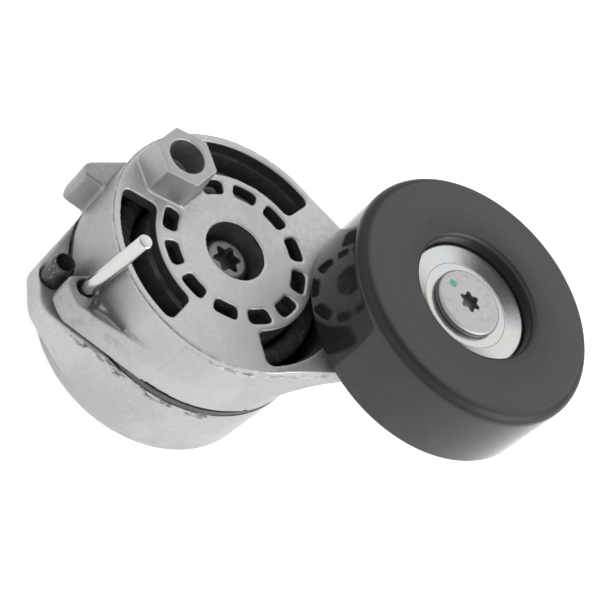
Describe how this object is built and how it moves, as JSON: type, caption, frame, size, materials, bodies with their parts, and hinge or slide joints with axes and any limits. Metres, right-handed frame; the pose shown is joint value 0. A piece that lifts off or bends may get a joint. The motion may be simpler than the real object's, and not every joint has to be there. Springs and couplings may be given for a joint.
{
  "type": "belt tensioner",
  "caption": "Automatic belt tensioner: a sprung cast arm turns on a cup-shaped base and carries a smooth idler pulley; a lock pin holds it for fitting.",
  "frame": {"origin": "pivot axis of the arm, on the mounting face at the back of the base", "axes": "+Z along the pivot axis, from the mounting face towards the pulley; +X from the pivot axis to the pulley axis with the lock pin in"},
  "size_m": [0.1426, 0.076, 0.0753],
  "materials": {
    "cast_base": "as-cast matte",
    "cast_arm": "as-cast matte with a machined-looking face",
    "shaft_steel": "turned, phosphated",
    "bolt_steel": "zinc flake",
    "washer_black": "black oxide",
    "spring_black": "black coated wire",
    "damper_black": "moulded",
    "stop_black": "black oxide with scuffs",
    "pin_zinc": "bright zinc",
    "pulley_black": "satin moulded",
    "bearing_steel": "ground",
    "cage_polymer": "moulded",
    "seal_rubber": "moulded",
    "cap_zinc": "bright zinc"
  },
  "bodies": {
    "base": {"base_housing": "cast_base", "pivot_shaft": "shaft_steel", "pivot_bolt": "bolt_steel", "retaining_washer": "washer_black", "thrust_washer": "shaft_steel", "torsion_spring": "spring_black", "damping_sleeve": "damper_black", "gap_seal": "damper_black", "stop_pin": "stop_black"},
    "arm": {"arm_housing": "cast_arm", "arm_liner": "damper_black", "spring_guide": "damper_black", "upper_bushing": "damper_black", "lower_bushing": "damper_black", "bearing_inner_ring": "bearing_steel", "rear_shield": "cap_zinc", "dust_cap": "cap_zinc", "pulley_bolt": "bolt_steel"},
    "pulley": {"pulley": "pulley_black", "bearing_outer_ring": "bearing_steel", "front_seal": "seal_rubber", "rear_seal": "seal_rubber"},
    "ball_cage": {"bearing_balls": "bearing_steel", "bearing_cage": "cage_polymer"},
    "lock_pin": {"lock_pin": "pin_zinc"}
  },
  "joints": [
    {"name": "arm_pivot", "type": "hinge", "parent": "base", "child": "arm", "pos_m": [0, 0, 0], "axis": [0, 0, 1], "range_deg": [-2.5, 28], "stiffness_Nm_per_rad": 9.7, "deforming": ["torsion_spring"]},
    {"name": "pulley_spin", "type": "hinge", "parent": "arm", "child": "pulley", "pos_m": [0.0603, 0, 0.0625], "axis": [0, 0, 1], "continuous": true},
    {"name": "cage_spin", "type": "hinge", "parent": "arm", "child": "ball_cage", "pos_m": [0.0603, 0, 0.0625], "axis": [0, 0, 1], "continuous": true},
    {"name": "lock_pin_pull", "type": "slide", "parent": "arm", "child": "lock_pin", "axis": [0.0516, -0.0787, 0.9956], "range_m": [0, 0.03]}
  ],
  "couplings": [
    {"joint": "cage_spin", "follows": "pulley_spin", "ratio": 0.6175}
  ]
}
